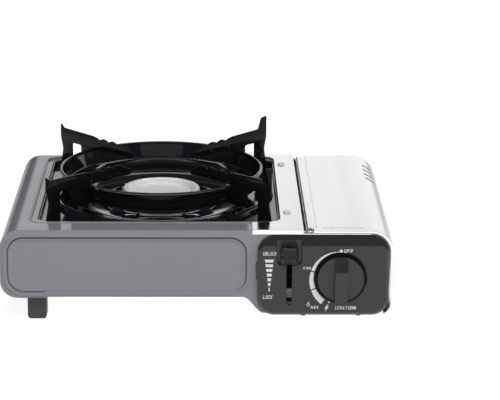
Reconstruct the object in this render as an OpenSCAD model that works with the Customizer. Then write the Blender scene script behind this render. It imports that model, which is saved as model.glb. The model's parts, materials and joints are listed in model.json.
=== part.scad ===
// Portable single-burner gas stove for a push-in gas cartridge, as an assembly of pressed steel parts.
// Every module draws in bench coordinates: x from the left wall to the right, y from the front face
// to the back, z up from the table. placed() moves that frame to the middle of the whole object.

/* [Body] */
// Depth of the pressed body from its front face to its back face
body_d = 252; // [248:1:276]
// Height of the top face above the table
body_top = 82.5; // [81:0.5:90]
// Height of the lower edge of the front and left walls
apron_z = 22.5; // [21:0.5:24]
// Height of the lower edge under the cartridge bay
trough_z = 8; // [7.5:0.1:8.5]
// Radius of the long upper left edge
edge_r = 17; // [12:0.5:19]
// Radius of the long lower left edge
wrap_r = 15; // [12:0.5:17]
// Thickness of the steel sheet
sheet = 1; // [0.8:0.1:1.2]
// Margin of the recessed front field from the left wall
field_left = 6.5; // [5:0.5:10]
// Margin of the recessed front field from the control panel
field_right = 9; // [7:0.5:14]
// Margin of the recessed front field from the lower edge
field_low = 4.5; // [3:0.5:6]
// Margin of the recessed front field from the top face
field_high = 6.3; // [5:0.1:9]
// Corner radius of the recessed front field
field_r = 14; // [8:0.5:18]
// Depth of the recessed front field
field_depth = 1.2; // [0.8:0.1:1.6]

/* [Tray well] */
// Distance of the well from the left wall
well_x = 30; // [28:0.5:33]
// Distance of the well from the front face
well_y = 32; // [29:0.5:34]
// Width of the well
well_w = 212; // [206:0.5:230]
// Depth of the well from front to back
well_d = 209.5; // [207:0.5:211]
// Distance of the well's right side from the hinge of the lid
well_right = 24.8; // [24.4:0.1:27]
// Height of the well wall above its lip
well_depth = 8; // [7:0.5:9]
// Corner radius of the well
well_r = 10; // [8:0.5:14]
// Width of the lip that carries the drip tray
well_lip = 3; // [2.5:0.1:4]
// Width of the lowered ledge at the left side of the well
ledge_side = 6.2; // [5:0.2:8]
// Width of the lowered ledge in front of the well
ledge_front = 9.3; // [7:0.1:11]
// Depth of the lowered ledge
ledge_depth = 1.4; // [1:0.1:2]

/* [Drip tray and pan support] */
// Side clearance of the drip tray in its well
tray_gap = 0.6; // [0.4:0.1:1]
// Distance of the round bead pressed into the tray from the sides of the well
bead_inset = 5.25; // [4.75:0.25:6.5]
// Height of that bead above the tray flange
bead_h = 4.5; // [3.5:0.5:6]
// Radius of the tray's hole around the burner
tray_hole_r = 47; // [46:0.5:50]
// Distance of the pan ring's rim inside the tray's bead
ring_inset = 7.2; // [6:0.1:9]
// Height of the pan ring's rim above the table
rim_z = 102.6; // [101:0.1:104]
// Depth of the pan ring's wall
ring_drop = 16.5; // [14:0.5:17.5]
// Radius of the open middle of the pan ring
ring_hole_r = 60; // [56:0.5:66]
// Height of the pan rest above the ring's rim
rest_rise = 11.2; // [9.5:0.1:14]
// Distance of the pan arms' feet from the sides of the well
arm_inset = 6.5; // [5.5:0.1:9]
// Thickness of a pan arm
arm_t = 1.6; // [1.2:0.1:2]
// Width of a pan arm's leg
leg_w = 16; // [13:0.5:18]
// Height of the two tall prongs above the pan rest
tall_prong = 12.9; // [10:0.1:15]
// Height of the two short prongs above the pan rest
short_prong = 4.6; // [3:0.1:7]

/* [Burner] */
// Radius of the burner cap
cap_r = 35.3; // [33:0.1:37]
// Height of the cap's rim above the table
cap_z = 83; // [82:0.5:86]
// Width of the cap's raised rim
cap_rim = 4; // [3:0.5:5]
// Depth of the dish inside that rim
cap_dish = 3.6; // [2:0.2:4]
// Number of flame ports under the cap
port_count = 24; // [18:1:30]
// Outer diameter of the mixing tube
mix_d = 18; // [16:0.5:19]
// Room for the jet and the pipe's bend between the mixing tube and the bay wall
mix_room = 64; // [62:0.5:70]

/* [Cartridge bay and lid] */
// Distance of the hinge axis from the right side of the lid
lid_w = 73.2; // [72:0.2:76]
// Radius of the lid's rolled hinge barrel
barrel_r = 4.6; // [4.4:0.1:5]
// Height of the barrel above the top face
barrel_rise = 1; // [0.9:0.1:1.1]
// Diameter of the hinge pin
pin_d = 3.5; // [3:0.1:4]
// Radius of the lid's long upper right edge
lid_r = 21; // [18:0.5:22]
// Radius of the lid's lower inward curve
curl_r = 14; // [13.5:0.5:15]
// Sweep of that curve in degrees
curl_sweep = 65; // [55:1:66]
// Height of the lid's lower edge above the table
lid_low = 5.4; // [5:0.1:6]
// Height of the lid's hem at the top
hem_top = 2; // [1.6:0.1:2]
// Width of the lid's hem at the side
hem_side = 3.8; // [3:0.1:4]
// Diameter of the gas cartridge that the bay takes
cartridge_d = 66; // [64:0.5:66]
// Length of that cartridge from its collar to its base
cartridge_l = 185; // [180:1:186]

/* [Controls] */
// Width of the control panel
panel_w = 113.5; // [112:0.5:115]
// Distance of the control panel from the right side of the lid
panel_side = 5; // [4.8:0.1:5.4]
// Distance of the control panel's upper edge below the top face
panel_drop = 3.8; // [3.4:0.1:4.4]
// How far the control panel stands out from the front face
panel_proud = 8; // [7.5:0.1:8.5]
// Corner radius of the control panel
panel_r = 15; // [13:0.5:17]
// Wall of the control panel
panel_wall = 2; // [1.8:0.1:2.4]
// Distance of the knob axis from the right side of the lid
knob_side = 47; // [46.6:0.1:47.4]
// Radius of the knob
knob_r = 21.8; // [20.5:0.1:23]
// How far the knob stands out from the panel
knob_h = 14; // [12:0.5:16]
// Width of the knob's grip bar
grip_w = 11; // [9:0.5:13]
// Diameter of the valve stem
stem_d = 8; // [7:0.5:9]
// Width of the lever's slot in the panel
slot_w = 4.8; // [4.4:0.1:5.4]
// Width of the lever's cap
lever_cap_w = 15.1; // [14:0.1:16]
// Thickness of the lever arm
lever_t = 3; // [2.5:0.1:3.4]
// Half of the lever's swing in degrees
lever_half = 17; // [15:0.5:17]
// Radius of the crank pin about the lever's pivot
crank_r = 13.7; // [13:0.1:14]

/* [Feet] */
// Width of a foot
foot_w = 16.4; // [14:0.2:20]
// Depth of a foot from front to back
foot_d = 14; // [12:0.5:20]
// Distance of the left feet from the left wall
foot_left = 22.5; // [18:0.5:30]
// Distance of the left feet from the front and back faces
foot_inset = 8; // [6:0.5:14]

/* [Hidden] */
$fn = 64;

// Clearances
eps = 0.01;
run_fit = 0.05;
seat_gap = 0.3;
cut = 1;

// Whole width, and the burner axis in the middle of the well
body_w = well_x + well_w + well_right + lid_w;
burner_x = well_x + well_w / 2;
burner_y = well_y + well_d / 2;

// Round parts and arms, from the shorter side of the well
well_half = min(well_w, well_d) / 2;
bead_r = well_half - bead_inset;
ring_r = bead_r - ring_inset;
arm_reach = (well_half - arm_inset) * sqrt(2);
pan_z = rim_z + rest_rise;

// Heights inside the well
lip_top = body_top - well_depth;
tray_t = sheet;
tray_top = lip_top + tray_t;

// Hinge, bay wall and top plate
hinge_x = body_w - lid_w;
hinge_z = body_top + barrel_rise - barrel_r;
hinge_gap = 1.2;
plate_t = 1;
plate_right = hinge_x - barrel_r - hinge_gap;
plate_lap = 25;
plate_left = well_x + well_w - plate_lap;
plate_over = 6;
wall_x = plate_right - plate_over;
bay_x = wall_x + sheet;
rail_drop = 3.3;
rail_z = body_top - rail_drop;
rail_w = 5;
rail_right = body_w - lid_r;
lug_inset = 1.4;
lug_r = barrel_r - lug_inset;

// Lid
hem_gap = 0.3;
lid_over = hem_gap + sheet;
lid_top = body_top;
wall_back = 5.5;
wall_end = body_w - wall_back;
wall_end_r = 12;

// Lower left edge, wrapped under the body as far as the feet's right side
wrap_drop = 1;
wrap_z = apron_z - wrap_drop;
wrap_to = foot_left + foot_w;

// Floor, and the trough that the cartridge lies in on the knob's axis
floor_z = wrap_z + sheet;
cartridge_gap = 0.6;
trough_gap = 2.5;
knob_x = body_w - knob_side;
knob_z = trough_z + sheet + cartridge_gap + cartridge_d / 2;
trough_end = knob_x + cartridge_d / 2 + trough_gap + sheet;
trough_wall = 14;

// Control panel
panel_x = body_w - panel_side - panel_w;
panel_top = body_top - panel_drop;
panel_low = trough_z + 0.1;
panel_bevel = panel_proud - 0.5;
panel_chamfer = 2.8;
knob_sunk = 1;
knob_gap = 0.8;
front_reach = panel_proud + knob_h;

// Lever: pivot on the bay wall, arm in the panel's slot
lever_off = 6.2;
lever_x = wall_x - lever_off;
pivot_y = 50;
pivot_z = 44;
pivot_d = 6;
cap_gap = 0.4;
cap_half = 7;
lever_tip_w = 10.6;
cap_in = (pivot_y + panel_proud + cap_gap + cap_half * sin(lever_half)) / cos(lever_half);
cap_out = pivot_y + front_reach;
arm_half = 4;
crank_d = 4;
crank_travel = 2 * crank_r * sin(lever_half);

// Cartridge seat and pusher
seat_y = 48;
pusher_t = 1.8;
pusher_rise = 8.4;
pusher_low = pivot_z + pusher_rise;
pusher_h = 12;
pusher_gap = 0.5;
pusher_y = seat_y + cartridge_l + crank_travel + pusher_gap;

// Mixing tube, aimed from the burner at the gas outlet
mix_z = 39;
mix_wall = 1.5;
mix_angle = -34;
pipe_d = 6;
pipe_z = 30;
outlet_y = 36;
mix_reach = norm([wall_x - burner_x, outlet_y - burner_y]) - mix_room;

// Spark electrode, on the far side of the burner from the mixing tube
spark_r = cap_r + 6;
spark_angle = 146;
spark_d = 6;
spark_low = 52;
spark_top = 76;

// Control wire
wire_d = 2.4;

steel_grey = [0.50, 0.51, 0.53];
steel_bright = [0.86, 0.87, 0.87];
steel_zinc = [0.72, 0.72, 0.68];
enamel_black = [0.06, 0.06, 0.07];
plastic_black = [0.16, 0.16, 0.16];
brass = [0.72, 0.58, 0.30];
aluminium = [0.78, 0.79, 0.80];

module placed() {
    translate([-body_w / 2, (front_reach - body_d - lid_over) / 2, 0]) children();
}

module rounded_rect(w, h, r) {
    translate([r, 0]) square([w - 2 * r, h]);
    translate([0, r]) square([w, h - 2 * r]);
    for (x = [r, w - r], y = [r, h - r]) translate([x, y]) circle(r);
}

// Stands a profile drawn in x and z upright, from y to y + depth
module upright(y, depth) {
    translate([0, y + depth, 0]) rotate([90, 0, 0]) linear_extrude(depth) children();
}

// Cylinder along y or along x
module rod_y(x, y, z, d, length) {
    translate([x, y, z]) rotate([-90, 0, 0]) cylinder(d = d, h = length);
}
module rod_x(x, y, z, d, length) {
    translate([x, y, z]) rotate([0, 90, 0]) cylinder(d = d, h = length);
}

// Tube swept along a hand-chosen route with its corners rounded
function unit(v) = v / norm(v);
function corner(a, b, c, r, steps) =
    let (p = b + r * unit(a - b), q = b + r * unit(c - b))
    [for (i = [0:steps]) let (t = i / steps) (1 - t) * (1 - t) * p + 2 * t * (1 - t) * b + t * t * q];
function rounded_route(p, r, steps) = [
    p[0],
    for (i = [1:len(p) - 2]) each corner(p[i - 1], p[i], p[i + 1], r, steps),
    p[len(p) - 1]
];
module swept_tube(route, d, sides) {
    n = len(route);
    aim = [0.31, 0.87, 0.38];
    ring = function(i)
        let (
            t = unit(route[min(i + 1, n - 1)] - route[max(i - 1, 0)]),
            u = unit(cross(t, aim)),
            v = cross(t, u)
        )
        [for (k = [0:sides - 1]) route[i] + d / 2 * (cos(360 * k / sides) * u + sin(360 * k / sides) * v)];
    points = [for (i = [0:n - 1]) each ring(i)];
    sides_faces = [
        for (i = [0:n - 2], k = [0:sides - 1])
            let (a = i * sides + k, b = i * sides + (k + 1) % sides)
            each [[a, b, b + sides], [a, b + sides, a + sides]]
    ];
    start_face = [for (k = [1:sides - 2]) [0, k + 1, k]];
    last = (n - 1) * sides;
    end_face = [for (k = [1:sides - 2]) [last, last + k, last + k + 1]];
    polyhedron(points, concat(sides_faces, start_face, end_face), convexity = 6);
}

// Pressed body: front and back walls
drop_lead = 12.5;
drop_x = panel_x - drop_lead;
drop_w = 18.5;
drop_steps = 12;
ledge_z = body_top - ledge_depth;
ledge_right = 3;
ledge_back = 4;
ledge_grow = 2;
ledge_r = well_r + ledge_grow;
ledge_w = well_w + ledge_side + ledge_right;
ledge_d = well_d + ledge_front + ledge_back;
stem_room = 4;
stem_hole = stem_d + stem_room;
window_w = 11;
window_low = 18;
window_high = 72;
screw_x = (well_x + well_w + wall_x) / 2;
screw_front = 51.7;
screw_back = 37.8;
screw_ys = [screw_front, body_d - screw_back];
screw_d = 3;

// Wavy lower edge where the wall drops to the cartridge bay
module drop_outline() {
    curve = [
        for (i = [0:drop_steps])
            [drop_x + drop_w * i / drop_steps,
             apron_z + (trough_z - apron_z) * (1 - cos(180 * i / drop_steps)) / 2]
    ];
    polygon(concat(curve, [[drop_x + drop_w, apron_z + edge_r], [drop_x, apron_z + edge_r]]));
}

module wall_outline() {
    bay_from = drop_x + drop_w;
    wrap_top = wrap_z + wrap_r;
    translate([0, wrap_top]) square([panel_x, body_top - edge_r - wrap_top]);
    translate([wrap_r, wrap_z]) square([wrap_to - wrap_r, body_top - edge_r - wrap_z]);
    translate([wrap_r, wrap_top]) circle(wrap_r);
    translate([edge_r, apron_z]) square([bay_x - edge_r, body_top - apron_z]);
    translate([edge_r, body_top - edge_r]) circle(edge_r);
    drop_outline();
    translate([bay_from, trough_z]) square([wall_end - wall_end_r - bay_from, rail_z - trough_z]);
    translate([bay_from, trough_z + wall_end_r])
        square([wall_end - bay_from, rail_z - trough_z - 2 * wall_end_r]);
    for (z = [trough_z + wall_end_r, rail_z - wall_end_r])
        translate([wall_end - wall_end_r, z]) circle(wall_end_r);
}

module inner_outline() {
    wrap_top = wrap_z + wrap_r;
    translate([sheet, wrap_top]) square([body_w, body_top - edge_r - wrap_top]);
    translate([edge_r, wrap_top]) square([body_w, body_top - sheet - wrap_top]);
    translate([edge_r, body_top - edge_r]) circle(edge_r - sheet);
    translate([wrap_r, wrap_z + sheet]) square([body_w, wrap_r]);
    translate([wrap_r, wrap_top]) circle(wrap_r - sheet);
    translate([wrap_to, -cut]) square([body_w, wrap_top + cut]);
}

module field_outline(grow) {
    translate([field_left - grow, apron_z + field_low - grow])
        rounded_rect(
            panel_x - field_right - field_left + 2 * grow,
            body_top - field_high - apron_z - field_low + 2 * grow,
            field_r + grow
        );
}

module body_shell() {
    color(steel_grey) placed() difference() {
        union() {
            difference() {
                upright(0, body_d) wall_outline();
                upright(sheet, body_d - 2 * sheet) inner_outline();
            }
            translate([well_x - ledge_side - sheet, well_y - ledge_front - sheet, ledge_z - sheet])
                linear_extrude(ledge_depth)
                    rounded_rect(ledge_w + 2 * sheet, ledge_d + 2 * sheet, ledge_r + sheet);
            translate([well_x - sheet, well_y - sheet, lip_top - sheet])
                linear_extrude(ledge_z - lip_top)
                    rounded_rect(well_w + 2 * sheet, well_d + 2 * sheet, well_r + sheet);
            upright(sheet, field_depth) field_outline(sheet);
        }
        translate([well_x - ledge_side, well_y - ledge_front, ledge_z])
            linear_extrude(ledge_depth + cut) rounded_rect(ledge_w, ledge_d, ledge_r);
        translate([well_x, well_y, lip_top])
            linear_extrude(well_depth + cut) rounded_rect(well_w, well_d, well_r);
        translate([well_x + well_lip, well_y + well_lip, lip_top - sheet - cut])
            linear_extrude(sheet + 2 * cut)
                rounded_rect(well_w - 2 * well_lip, well_d - 2 * well_lip, well_r);
        upright(-cut, cut + field_depth) field_outline(0);
        rod_y(knob_x, -cut, knob_z, stem_hole, sheet + 2 * cut);
        translate([lever_x - window_w / 2, -cut, window_low])
            cube([window_w, sheet + 2 * cut, window_high - window_low]);
        for (y = screw_ys)
            translate([screw_x, y, body_top - sheet - cut])
                cylinder(d = screw_d + 2 * run_fit, h = sheet + 2 * cut);
    }
}

// Base: floor under the burner, stepped down to the trough of the cartridge bay
base_fit = 0.2;
joggle_room = 5.8;
joggle_w = 14;
joggle_x = lever_x - joggle_room - joggle_w;
vent_count = 6;
vent_w = 4;
vent_l = 46;
vent_pitch = 11;
vent_gap = 8;

module base_plate() {
    lean = sheet * tan(atan2(floor_z - trough_z, joggle_w) / 2);
    inside = sheet + base_fit;
    section = [
        [wrap_r, floor_z], [joggle_x, floor_z], [joggle_x + joggle_w, trough_z],
        [trough_end, trough_z], [trough_end, trough_z + trough_wall],
        [trough_end - sheet, trough_z + trough_wall], [trough_end - sheet, trough_z + sheet],
        [joggle_x + joggle_w + lean, trough_z + sheet], [joggle_x + lean, floor_z + sheet],
        [wrap_r, floor_z + sheet]
    ];
    color(steel_zinc) placed() difference() {
        upright(inside, body_d - 2 * inside) polygon(section);
        for (i = [0:vent_count - 1], side = [-1, 1])
            translate([
                burner_x + (i - (vent_count - 1) / 2) * vent_pitch - vent_w / 2,
                burner_y + side * (vent_l + vent_gap) - vent_l / 2,
                floor_z - cut
            ]) cube([vent_w, vent_l, sheet + 2 * cut]);
    }
}

// Bright plate beside the tray, with its front and back flanges, the bay's rails and the hinge lugs
module top_plate() {
    color(steel_bright) placed() difference() {
        union() {
            translate([plate_left, -plate_t, body_top])
                cube([plate_right - plate_left, body_d + 2 * plate_t, plate_t]);
            for (y = [-plate_t, body_d])
                translate([plate_left, y, rail_z])
                    cube([plate_right - plate_left, plate_t, body_top + plate_t - rail_z]);
            for (y = [-plate_t, body_d - rail_w]) {
                translate([plate_right - plate_t, y, rail_z])
                    cube([plate_t, rail_w + plate_t, body_top + plate_t - rail_z]);
                translate([plate_right - plate_t, y, rail_z])
                    cube([rail_right - plate_right + plate_t, rail_w + plate_t, plate_t]);
            }
            for (y = [sheet, body_d - rail_w]) {
                rod_y(hinge_x, y, hinge_z, 2 * lug_r, rail_w - sheet);
                translate([plate_right - plate_t, y, hinge_z - pin_d / 2])
                    cube([hinge_x - plate_right + plate_t, rail_w - sheet, pin_d]);
            }
        }
        translate([well_x, well_y - ledge_front, body_top - cut])
            linear_extrude(plate_t + 2 * cut)
                rounded_rect(well_w, well_d + ledge_front + ledge_back, ledge_r);
        rod_y(hinge_x, sheet, hinge_z, pin_d + 2 * run_fit, body_d - 2 * sheet);
        for (y = screw_ys)
            translate([screw_x, y, body_top - cut])
                cylinder(d = screw_d + 2 * run_fit, h = plate_t + 2 * cut);
    }
}

module plate_screws() {
    head_d = 6.6;
    head_h = 1.6;
    shank = plate_t + sheet + 3;
    color(steel_bright) placed() for (y = screw_ys) translate([screw_x, y, body_top + plate_t]) {
        rotate_extrude() polygon([
            [0, -shank], [screw_d / 2, -shank], [screw_d / 2, 0], [head_d / 2, 0],
            [head_d / 2, head_h / 2], [head_d / 2 - head_h / 2, head_h], [0, head_h]
        ]);
    }
}

// Wall between the burner space and the cartridge bay, with the keepers of the pusher
keeper_l = 12;
keeper_t = 1.2;
keeper_lip = 1;
keeper_hook = 2;
keeper_front = 91;
keeper_back = 60;
keeper_ys = [keeper_front, body_d - keeper_back];
pipe_hole = pipe_d + 2;
wire_hole = wire_d + 2;
wire_y = 20;
wire_z = trough_z + 6;

module keeper(y, z, up) {
    reach = 2 * seat_gap + pusher_t + keeper_lip;
    translate([bay_x, y, z]) {
        translate([0, 0, up > 0 ? 0 : -keeper_t]) cube([reach, keeper_l, keeper_t]);
        translate([reach - keeper_lip, 0, up > 0 ? -keeper_hook : -keeper_t])
            cube([keeper_lip, keeper_l, keeper_hook + keeper_t]);
    }
}

module bay_wall() {
    inside = sheet + base_fit;
    slot_half = crank_r * sin(lever_half) + crank_d / 2 + 1;
    slot_low = pivot_z + crank_r * cos(lever_half) - crank_d / 2 - 1;
    slot_high = pivot_z + crank_r + crank_d / 2 + 1;
    color(steel_zinc) placed() difference() {
        union() {
            translate([wall_x, inside, trough_z + sheet])
                cube([sheet, body_d - 2 * inside, body_top - trough_z - 2 * sheet]);
            for (y = keeper_ys) {
                keeper(y, pusher_low + pusher_h + seat_gap, 1);
                keeper(y, pusher_low - seat_gap, -1);
            }
        }
        rod_x(wall_x - cut, pivot_y, pivot_z, pivot_d + 2 * run_fit, sheet + 2 * cut);
        translate([wall_x - cut, pivot_y - slot_half, slot_low])
            cube([sheet + 2 * cut, 2 * slot_half, slot_high - slot_low]);
        rod_x(wall_x - cut, outlet_y, pipe_z, pipe_hole, sheet + 2 * cut);
        rod_x(wall_x - cut, wire_y, wire_z, wire_hole, sheet + 2 * cut);
    }
}

module hinge_pin() {
    color(steel_zinc) placed() rod_y(hinge_x, sheet, hinge_z, pin_d, body_d - 2 * sheet);
}

// Bright lid over the cartridge bay: rolled hinge edge, top, rounded edge, side and inward curl
curl_x = body_w - curl_r;
curl_z = lid_low + curl_r * sin(curl_sweep);
hem_curl = hem_side - 1;
barrel_gap = 0.4;
barrel_notch = 4;
barrel_y = rail_w + barrel_gap;
barrel_end = body_d - rail_w - barrel_notch;
strip_w = 5.4;
lug_room = 3;
lid_x = hinge_x + 0.5;
lid_y = -lid_over;
lid_d = body_d + 2 * lid_over;

// Slots across the lid's rounded edge, and the groove along its front
vent_rows = 4;
vent_row_pitch = 15;
vent_row_back = 31;
vent_row_w = 4;
vent_row_l = 9;
vent_row_angle = 32.5;
groove_y = 7.2;
groove_w = 1;
groove_depth = 0.5;
groove_side = 5;

module lid_vents() {
    for (i = [0:vent_rows - 1])
        translate([body_w - lid_r, body_d - vent_row_back - i * vent_row_pitch, lid_top - lid_r])
            rotate([0, vent_row_angle, 0])
                translate([-vent_row_l / 2, -vent_row_w / 2, lid_r - sheet - cut])
                    cube([vent_row_l, vent_row_w, sheet + 2 * cut]);
}

module lid_groove() {
    from = hinge_x + strip_w + groove_side;
    translate([from, groove_y, lid_top - groove_depth])
        cube([body_w - lid_r - groove_side - from, groove_w, groove_depth + cut]);
}

// The lid seen from the front as a filled outline, its top, side and curl moved inwards
module lid_outline(left, top, side, curl) {
    corner_x = body_w - lid_r;
    r = lid_r - side;
    corner_z = lid_top - top - r;
    translate([left, curl_z]) square([corner_x - left, lid_top - top - curl_z]);
    translate([left, curl_z]) square([corner_x + r - left, corner_z - curl_z]);
    translate([corner_x, corner_z]) circle(r);
    translate([curl_x, curl_z]) circle(curl_r - curl);
}

// Everything below the lid that its curl doesn't reach
module lid_opening() {
    far = 3 * curl_r;
    polygon([
        [curl_x, curl_z], [curl_x + far * cos(curl_sweep), curl_z - far * sin(curl_sweep)],
        [curl_x - far, curl_z - far], [curl_x - far, curl_z]
    ]);
}

module cartridge_lid() {
    color(steel_bright) placed() difference() {
        union() {
            rod_y(hinge_x, barrel_y, hinge_z, 2 * barrel_r, barrel_end - barrel_y);
            translate([hinge_x, lid_y, lid_top - sheet / 2])
                cube([strip_w, barrel_end - lid_y, barrel_rise + sheet / 2]);
            difference() {
                upright(lid_y, lid_d) lid_outline(lid_x, 0, 0, 0);
                upright(lid_y + sheet, lid_d - 2 * sheet) lid_outline(lid_x - cut, sheet, sheet, sheet);
                upright(lid_y - cut, lid_d + 2 * cut) {
                    lid_outline(lid_x - cut, hem_top, hem_side, hem_curl);
                    lid_opening();
                }
            }
        }
        rod_y(hinge_x, 0, hinge_z, pin_d + 2 * run_fit, body_d);
        translate([hinge_x - barrel_r, lid_y - cut, hinge_z - barrel_r])
            cube([barrel_r + lug_room, barrel_y - lid_y + cut, 3 * barrel_r]);
        translate([hinge_x - barrel_r, barrel_end, hinge_z])
            cube([barrel_r + strip_w, lid_y + lid_d - barrel_end + cut, 2 * barrel_r]);
        lid_vents();
        lid_groove();
    }
}

// Moulded control panel with the knob's dish, the lever's pocket and its slot
slot_rise = 10.2;
slot_low = trough_z + slot_rise;
slot_high = 69;
pocket_side = 3.2;
pocket_w = lever_cap_w + 2 * pocket_side;
pocket_low = 53.9;
pocket_r = 4;
pocket_depth = 4;
tab_w = 4;
tab_h = 0.7;
rib_out = 1.2;
rib_z = 40.4;
rib_h = 14.3;
tab_xs = [39.7, 87.4];

module panel_outline(inset, top_inset) {
    translate([panel_x + inset, panel_low + inset])
        rounded_rect(
            panel_w - 2 * inset, panel_top - panel_low - inset - top_inset, max(panel_r - inset, 2)
        );
}

// Section of a block with its two upper edges cut off
module chamfered(w, side, slope) {
    polygon([[0, 0], [w, 0], [w, side], [w - slope, side + slope], [slope, side + slope], [0, side]]);
}

// Panel block: rounded corners, a chamfer round its front and the bevel along its top
module panel_block() {
    h = panel_top - panel_low;
    slope = panel_chamfer;
    side = panel_proud - slope;
    far = -panel_proud - cut;
    difference() {
        translate([panel_x, 0, panel_low]) rotate([90, 0, 0]) {
            for (x = [panel_r, panel_w - panel_r], z = [panel_r, h - panel_r])
                translate([x, z, 0]) {
                    cylinder(r = panel_r, h = side);
                    translate([0, 0, side]) cylinder(r1 = panel_r, r2 = panel_r - slope, h = slope);
                }
            translate([0, h - panel_r, 0]) rotate([90, 0, 0]) linear_extrude(h - 2 * panel_r)
                chamfered(panel_w, side, slope);
            translate([panel_r, 0, 0]) rotate([90, 0, 90]) linear_extrude(panel_w - 2 * panel_r)
                chamfered(h, side, slope);
        }
        translate([panel_x - cut, 0, 0]) rotate([90, 0, 90]) linear_extrude(panel_w + 2 * cut)
            polygon([
                [far, panel_top - panel_bevel - cut], [far, panel_top + cut],
                [panel_bevel - panel_proud + cut, panel_top + cut]
            ]);
    }
}

module control_panel() {
    face = -panel_proud;
    inner = panel_wall + panel_chamfer;
    color(plastic_black) placed() difference() {
        union() {
            difference() {
                panel_block();
                upright(face + panel_wall, panel_proud) panel_outline(inner, panel_bevel + panel_wall);
            }
            translate([lever_x - pocket_w / 2 - panel_wall, face + panel_wall / 2, pocket_low - panel_wall])
                cube([
                    pocket_w + 2 * panel_wall, pocket_depth + panel_wall / 2,
                    panel_top - panel_bevel - pocket_low
                ]);
            for (x = tab_xs)
                translate([panel_x + x - tab_w / 2, face + panel_chamfer, panel_low - tab_h])
                    cube([tab_w, panel_wall, panel_wall + tab_h]);
            translate([panel_x - rib_out, face + panel_chamfer, rib_z])
                cube([rib_out + panel_wall, panel_wall, rib_h]);
        }
        rod_y(knob_x, face - cut, knob_z, 2 * (knob_r + knob_gap), cut + knob_sunk);
        rod_y(knob_x, face - cut, knob_z, stem_hole, panel_proud + 2 * cut);
        upright(face - cut, cut + pocket_depth)
            translate([lever_x - pocket_w / 2, pocket_low])
                rounded_rect(pocket_w, panel_top - pocket_low + pocket_r, pocket_r);
        upright(face - cut, panel_proud + 2 * cut)
            translate([lever_x - slot_w / 2, slot_low])
                rounded_rect(slot_w, slot_high - slot_low, slot_w / 2 - eps);
    }
}

// Knob with its upright grip bar: a ridge near the top, a ramp with a pointer mark above it, a slow fall below
knob_back = -panel_proud + knob_sunk - 0.4;
knob_full = front_reach + knob_back;
socket_l = 8;

module control_knob() {
    skirt = 4.4;
    disc = 5.6;
    low_end = 0.3 - knob_r;
    fall = 3;
    ridge = 8.7;
    ramp_end = knob_r - 2;
    ramp_low = 7;
    slope = (knob_full - ramp_low) / (ramp_end - ridge);
    mark_from = ridge + 0.8;
    mark_l = 5.2;
    mark_w = 2.1;
    mark_depth = 0.6;
    mark_high = knob_full - slope * (mark_from - ridge);
    mark_low = mark_high - slope * mark_l;
    color(plastic_black) placed() translate([knob_x, knob_back, knob_z]) rotate([90, 0, 0]) difference() {
        union() {
            rotate_extrude() polygon([
                [0, 0], [knob_r, 0], [knob_r, skirt], [knob_r - (disc - skirt), disc], [0, disc]
            ]);
            translate([-grip_w / 2, 0, 0]) rotate([90, 0, 90]) linear_extrude(grip_w) polygon([
                [low_end, skirt], [low_end, knob_full - fall], [ridge, knob_full],
                [ramp_end, ramp_low], [ramp_end, skirt]
            ]);
        }
        translate([-mark_w / 2, 0, 0]) rotate([90, 0, 90]) linear_extrude(mark_w) polygon([
            [mark_from, mark_high - mark_depth], [mark_from, mark_high + cut],
            [mark_from + mark_l, mark_low + cut], [mark_from + mark_l, mark_low - mark_depth]
        ]);
        translate([0, 0, -cut]) cylinder(d = stem_d + 2 * run_fit, h = socket_l + cut);
    }
}

// Valve stem from the knob's socket into the regulator
stem_in = 24;

module valve_stem() {
    front = knob_back - socket_l + seat_gap;
    color(brass) placed() rod_y(knob_x, front, knob_z, stem_d, stem_in - front);
}

// Regulator and valve body behind the panel, with the cartridge's seat at its back
reg_half = 20;
reg_drop = 18;
reg_rise = 20;
reg_low = knob_z - reg_drop;
reg_high = knob_z + reg_rise;
reg_front = 8;
reg_back = 40;
seat_r = 19;
neck_d = 24;
nozzle_d = 13;
nozzle_l = 14;
gasket_d = 10;
gasket_l = 3;
key_w = 5;
key_l = 7;
key_h = 4;
outlet_d = 10;
outlet_l = 5;

module regulator_body() {
    color(aluminium) placed() difference() {
        union() {
            translate([knob_x - reg_half, reg_front, reg_low])
                cube([2 * reg_half, reg_back - reg_front, reg_high - reg_low]);
            rod_y(knob_x, sheet, knob_z, neck_d, reg_front - sheet + 1);
            rod_y(knob_x, reg_back - 1, knob_z, 2 * seat_r, seat_y - reg_back + 1);
            translate([knob_x - key_w / 2, reg_back - 1, knob_z + seat_r - 1])
                cube([key_w, seat_y - reg_back + 1 + key_l, key_h]);
            rod_x(knob_x - reg_half - outlet_l, outlet_y, pipe_z, outlet_d, outlet_l + 1);
        }
        rod_y(knob_x, sheet - cut, knob_z, stem_d + 2 * run_fit, stem_in + 1);
        rod_y(knob_x, seat_y - nozzle_l, knob_z, nozzle_d, nozzle_l + cut);
        rod_y(knob_x, seat_y - nozzle_l - gasket_l, knob_z, gasket_d, gasket_l + cut);
    }
}

module nozzle_gasket() {
    color([0.1, 0.1, 0.1]) placed() difference() {
        rod_y(knob_x, seat_y - nozzle_l - gasket_l, knob_z, gasket_d - 2 * run_fit, gasket_l);
        rod_y(knob_x, seat_y - nozzle_l - gasket_l - cut, knob_z, gasket_d / 2, gasket_l + 2 * cut);
    }
}

// Piezo unit beside the regulator
piezo_w = 12;
piezo_l = 30;
piezo_h = 14;
piezo_x = knob_x + reg_half + 5;
piezo_z = knob_z - piezo_h / 2;

module piezo_igniter() {
    boot = 6;
    color([0.75, 0.2, 0.15]) placed() {
        translate([piezo_x, sheet, piezo_z]) cube([piezo_w, piezo_l, piezo_h]);
        rod_y(piezo_x + piezo_w / 2, sheet + piezo_l, knob_z, boot, 3);
    }
}

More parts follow.
